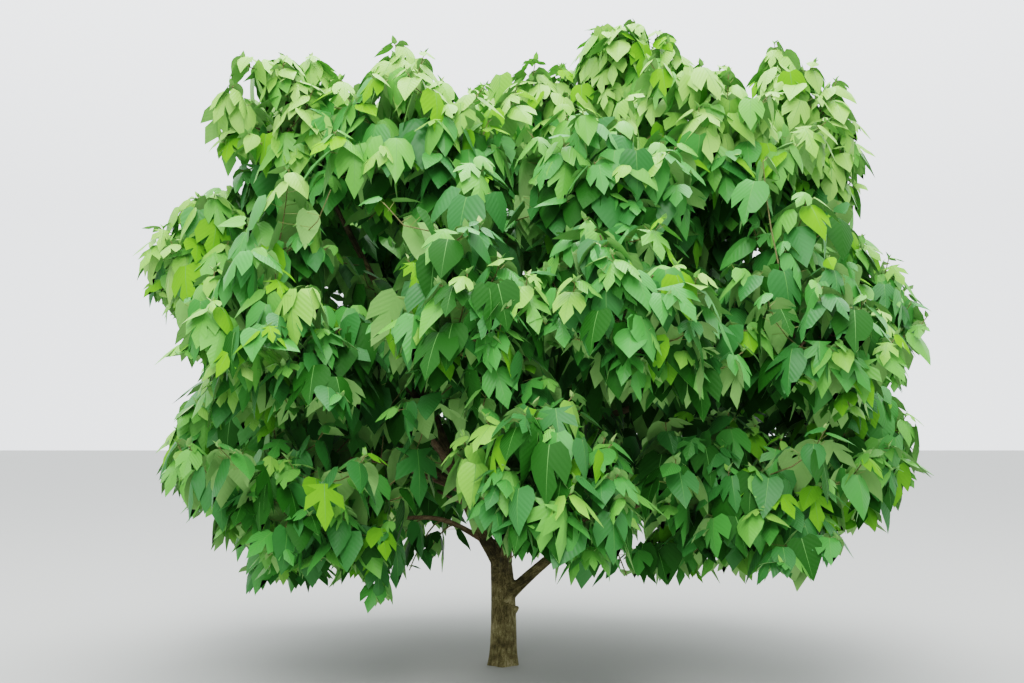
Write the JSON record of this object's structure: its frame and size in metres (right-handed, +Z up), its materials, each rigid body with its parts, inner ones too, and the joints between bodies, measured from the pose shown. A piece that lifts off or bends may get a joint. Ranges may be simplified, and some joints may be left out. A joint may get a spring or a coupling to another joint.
{
  "type": "paper mulberry tree",
  "caption": "Small broad tree in full leaf: a short trunk, spreading boughs and a wide crown of large drooping lobed leaves.",
  "frame": {"origin": "middle of the flat cut under the trunk, at ground level", "axes": "+Z up along the trunk, +X to the right and -Y towards the viewer in the picture"},
  "size_m": [4.4429, 4.034, 3.7286],
  "materials": {
    "bark": "rough bark",
    "young_bark": "smooth young bark",
    "foliage": "soft leaf"
  },
  "bodies": {
    "root": {"trunk": "bark", "limb_back": "bark", "limb_back_left": "bark", "limb_centre": "bark", "limb_front": "bark", "limb_left": "bark", "limb_right": "bark", "limb_upper_right": "bark", "bough_back_low_left": "young_bark", "bough_back_low_right": "young_bark", "bough_back_right": "young_bark", "bough_back_top_left": "young_bark", "bough_back_top_right": "young_bark", "bough_centre_left": "young_bark", "bough_centre_right": "young_bark", "bough_far_right": "young_bark", "bough_left_front": "young_bark", "bough_left_low": "young_bark", "bough_left_shoulder": "young_bark", "bough_left_skirt": "young_bark", "bough_right_edge": "young_bark", "bough_right_front": "young_bark", "bough_right_shoulder": "young_bark", "bough_top_centre": "young_bark", "bough_top_middle": "young_bark", "bough_upper_middle": "young_bark", "leaves_back_centre": "foliage", "leaves_back_left": "foliage", "leaves_back_low_left": "foliage", "leaves_back_low_right": "foliage", "leaves_back_right": "foliage", "leaves_back_top_left": "foliage", "leaves_back_top_right": "foliage", "leaves_centre_left": "foliage", "leaves_centre_right": "foliage", "leaves_front_low": "foliage", "leaves_left_front": "foliage", "leaves_left_low": "foliage", "leaves_left_shoulder": "foliage", "leaves_left_skirt": "foliage", "leaves_peak": "foliage", "leaves_right_edge": "foliage", "leaves_right_front": "foliage", "leaves_right_shoulder": "foliage", "leaves_right_skirt": "foliage", "leaves_top_centre": "foliage", "leaves_top_far_right": "foliage", "leaves_top_left": "foliage", "leaves_top_middle": "foliage", "leaves_top_right": "foliage", "leaves_upper_middle": "foliage"}
  },
  "joints": []
}
